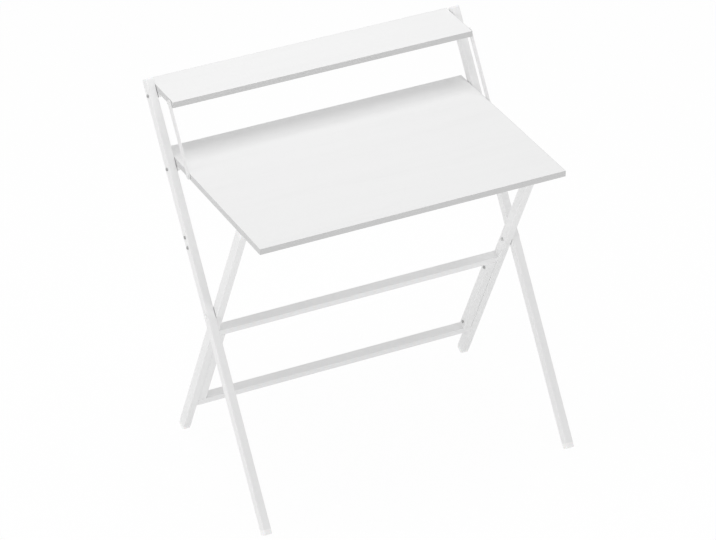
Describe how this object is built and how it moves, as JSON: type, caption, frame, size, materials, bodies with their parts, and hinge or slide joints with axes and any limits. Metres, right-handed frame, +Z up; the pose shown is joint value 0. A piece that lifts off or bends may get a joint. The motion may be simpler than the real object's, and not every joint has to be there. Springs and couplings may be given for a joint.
{
  "type": "folding desk",
  "caption": "Folding writing desk with a flat desktop, a raised rear shelf and crossed tube legs that scissor shut.",
  "frame": {"origin": "on the floor, under the middle of the desk's outer box", "axes": "+Z up, +X to the right across the desk, +Y from the front edge towards the raised shelf"},
  "size_m": [0.851, 0.6551, 0.9396],
  "materials": {
    "leg_paint": "satin white powder coat",
    "bracket_paint": "satin white powder coat",
    "board_melamine": "white melamine with faint wood grain",
    "edge_band": "white edge band",
    "cap_plastic": "moulded white plastic",
    "fastener_steel": "dark zinc",
    "plain_steel": "bright zinc"
  },
  "bodies": {
    "long_legs": {"left_upper_post": "leg_paint", "right_upper_post": "leg_paint", "left_lower_leg": "leg_paint", "right_lower_leg": "leg_paint", "left_leg_splice": "plain_steel", "right_leg_splice": "plain_steel", "left_post_cap": "cap_plastic", "right_post_cap": "cap_plastic", "left_front_foot": "cap_plastic", "right_front_foot": "cap_plastic", "splice_screws": "fastener_steel", "leg_pivot_bolts": "plain_steel", "leg_pivot_washers": "cap_plastic", "leg_pivot_nuts": "plain_steel", "leg_pivot_caps": "cap_plastic", "desk_hinge_bolts": "fastener_steel", "desk_hinge_washers": "cap_plastic", "desk_hinge_nuts": "plain_steel", "shelf_hinge_bolts": "fastener_steel", "shelf_hinge_washers": "cap_plastic", "shelf_hinge_nuts": "plain_steel"},
    "short_legs": {"left_short_leg": "leg_paint", "right_short_leg": "leg_paint", "left_rest_cap": "cap_plastic", "right_rest_cap": "cap_plastic", "left_rear_foot": "cap_plastic", "right_rear_foot": "cap_plastic", "left_side_rail": "leg_paint", "right_side_rail": "leg_paint", "upper_crossbar": "leg_paint", "lower_crossbar": "leg_paint", "stretcher_bolts": "fastener_steel", "stretcher_rivet_nuts": "plain_steel"},
    "desktop": {"desktop_board": "board_melamine", "desktop_edge_band": "edge_band", "left_desktop_bracket": "bracket_paint", "right_desktop_bracket": "bracket_paint", "desktop_bracket_screws": "fastener_steel", "left_leg_stop": "bracket_paint", "right_leg_stop": "bracket_paint", "leg_stop_screws": "fastener_steel", "desktop_link_screws": "bracket_paint", "desktop_link_washers": "cap_plastic"},
    "shelf": {"shelf_board": "board_melamine", "shelf_edge_band": "edge_band", "left_shelf_bracket": "bracket_paint", "right_shelf_bracket": "bracket_paint", "shelf_bracket_screws": "fastener_steel", "shelf_link_screws": "bracket_paint", "shelf_link_washers": "cap_plastic"},
    "link_bars": {"left_link_bar": "bracket_paint", "right_link_bar": "bracket_paint"}
  },
  "joints": [
    {"name": "leg_fold", "type": "hinge", "parent": "long_legs", "child": "short_legs", "pos_m": [0, -0.01643, 0.4495], "axis": [-1, 0, 0], "range_deg": [0, 60]},
    {"name": "desktop_lift", "type": "hinge", "parent": "long_legs", "child": "desktop", "pos_m": [0, 0.18702, 0.75], "axis": [-1, 0, 0], "range_deg": [0, 30]},
    {"name": "shelf_lift", "type": "hinge", "parent": "long_legs", "child": "shelf", "pos_m": [0, 0.2879, 0.899], "axis": [-1, 0, 0], "range_deg": [0, 30]},
    {"name": "link_swing", "type": "hinge", "parent": "desktop", "child": "link_bars", "pos_m": [0, 0.10602, 0.7675], "axis": [-1, 0, 0], "range_deg": [-30, 0]}
  ],
  "couplings": [
    {"joint": "desktop_lift", "follows": "leg_fold", "ratio": 0.5},
    {"joint": "shelf_lift", "follows": "leg_fold", "ratio": 0.5},
    {"joint": "link_swing", "follows": "leg_fold", "ratio": -0.5}
  ]
}
